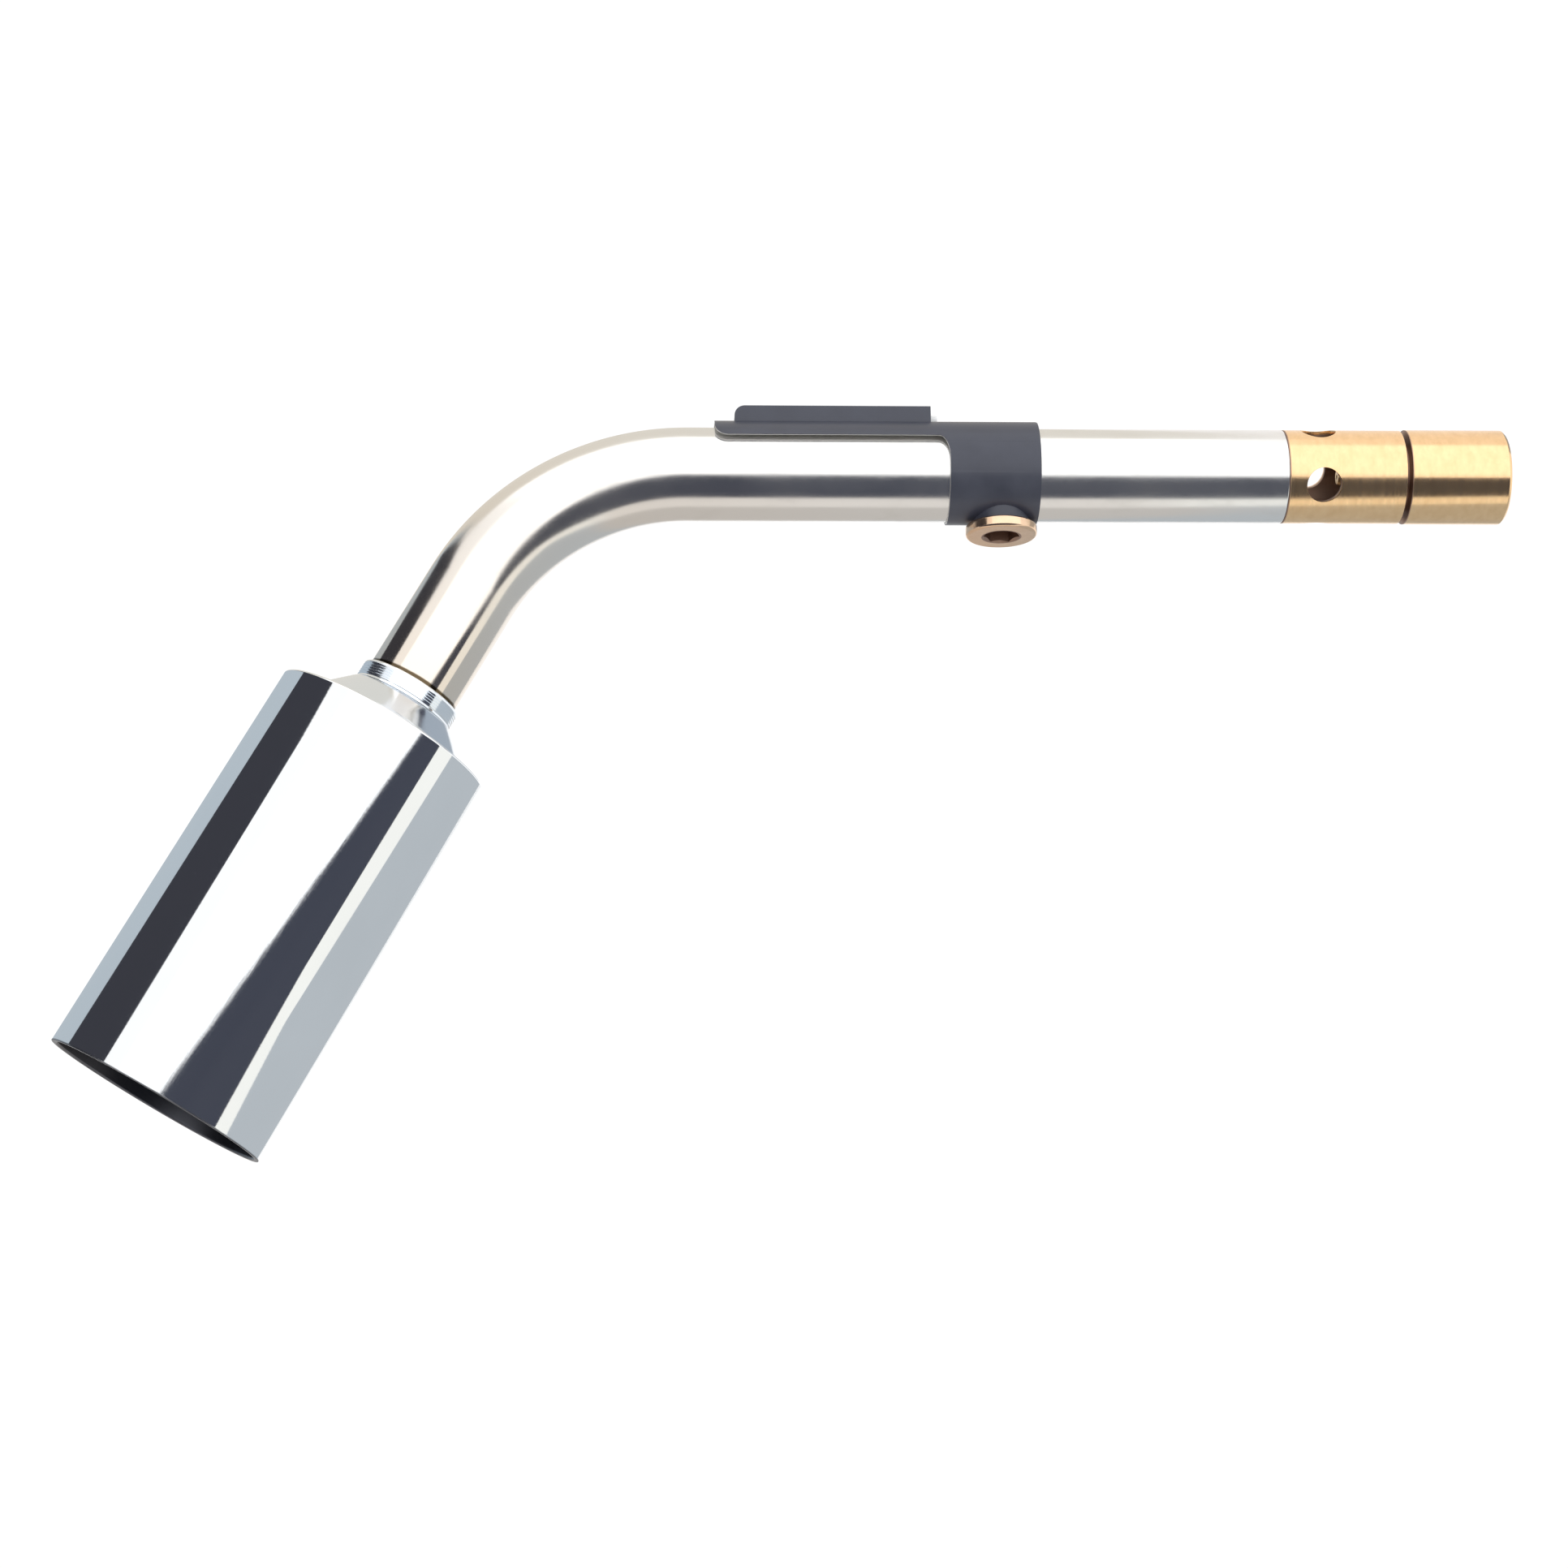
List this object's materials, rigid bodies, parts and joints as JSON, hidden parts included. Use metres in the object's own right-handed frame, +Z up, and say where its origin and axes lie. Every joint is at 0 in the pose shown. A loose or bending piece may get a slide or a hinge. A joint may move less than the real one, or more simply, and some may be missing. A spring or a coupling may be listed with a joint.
{
  "type": "soft-flame bell burner",
  "caption": "Bell-ended gas burner on a bent steel tube, with a brass air chamber, a swivelling neck coupling and a clamped sliding clip.",
  "frame": {"origin": "centre of the coupling's mouth, on the axis of the neck thread", "axes": "+X along the straight tube and out of the coupling's mouth, +Z up, away from the bell; the tube bends down in the XZ plane"},
  "size_m": [0.2434, 0.0384, 0.1282],
  "materials": {
    "coupling_brass": "fine turned, bare",
    "chamber_brass": "fine turned, bare",
    "inner_brass": "turned",
    "fibre_seal": "pressed fibre",
    "filter_bronze": "sintered",
    "spring_steel": "phosphated",
    "seal_rubber": "moulded",
    "polished_tube": "polished, faintly straw coloured near the bell",
    "hub_chrome": "bright chrome over turning marks",
    "bell_chrome": "bright chrome",
    "heat_steel": "heat darkened",
    "clip_black": "satin black",
    "liner_white": "translucent white",
    "pad_nylon": "natural",
    "screw_brass": "polished"
  },
  "bodies": {
    "coupling": {"coupling_socket": "coupling_brass", "jet": "inner_brass", "jet_seal": "fibre_seal", "jet_filter": "filter_bronze", "swivel_ring": "spring_steel", "swivel_seal": "seal_rubber"},
    "burner": {"air_chamber": "chamber_brass", "burner_tube": "polished_tube", "burner_hub": "hub_chrome", "burner_bell": "bell_chrome", "flame_nozzle": "inner_brass", "flame_disc": "heat_steel", "disc_nut": "inner_brass"},
    "clip": {"clip_band": "clip_black", "clip_boss": "clip_black", "lead_liner": "liner_white"},
    "pad": {"clamp_pad": "pad_nylon"},
    "screw": {"clamp_screw": "screw_brass"}
  },
  "joints": [
    {"name": "burner_swivel", "type": "hinge", "parent": "coupling", "child": "burner", "pos_m": [-0.02, 0, 0], "axis": [1, 0, 0], "continuous": true},
    {"name": "clip_slide", "type": "slide", "parent": "burner", "child": "clip", "axis": [1, 0, 0], "range_m": [-0.04, 0.04]},
    {"name": "screw_turn", "type": "hinge", "parent": "pad", "child": "screw", "pos_m": [-0.087, 0, -0.01], "axis": [0, 0, -1], "range_deg": [0, 540]},
    {"name": "screw_travel", "type": "slide", "parent": "clip", "child": "pad", "axis": [0, 0, -1], "range_m": [0, 0.0015]}
  ],
  "couplings": [
    {"joint": "screw_turn", "follows": "screw_travel", "rad_per_m": 6283.2}
  ]
}
